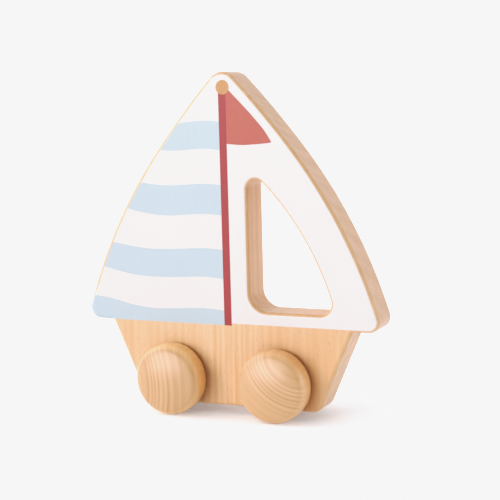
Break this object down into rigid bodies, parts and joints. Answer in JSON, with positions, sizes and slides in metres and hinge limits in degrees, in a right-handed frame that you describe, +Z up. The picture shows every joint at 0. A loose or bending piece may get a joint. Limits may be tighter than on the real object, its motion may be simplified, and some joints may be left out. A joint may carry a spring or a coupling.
{
  "type": "wooden push-along toy boat",
  "caption": "Wooden sailing boat sawn from one thick board, with a grab hole through the front sail, rolling on turned domed wheels glued to through axles.",
  "frame": {"origin": "on the ground under the centre of the boat: centre of the bounding box in X and Y, bottom of the wheels in Z", "axes": "+X forward along the boat, towards the sail with the grab hole; +Y across the boat, away from the viewer; +Z up to the masthead"},
  "size_m": [0.1324, 0.0424, 0.1426],
  "materials": {
    "board": "satin",
    "wheel": "satin",
    "dowel": "satin"
  },
  "bodies": {
    "board": {"body_board": "board"},
    "front_wheelset": {"front_axle_dowel": "dowel", "front_left_wheel": "wheel", "front_right_wheel": "wheel"},
    "rear_wheelset": {"rear_axle_dowel": "dowel", "rear_left_wheel": "wheel", "rear_right_wheel": "wheel"}
  },
  "joints": [
    {"name": "front_axle_spin", "type": "hinge", "parent": "board", "child": "front_wheelset", "pos_m": [0.02285, 0, 0.01497], "axis": [0, 1, 0], "continuous": true},
    {"name": "rear_axle_spin", "type": "hinge", "parent": "board", "child": "rear_wheelset", "pos_m": [-0.02445, 0, 0.01497], "axis": [0, 1, 0], "continuous": true}
  ]
}
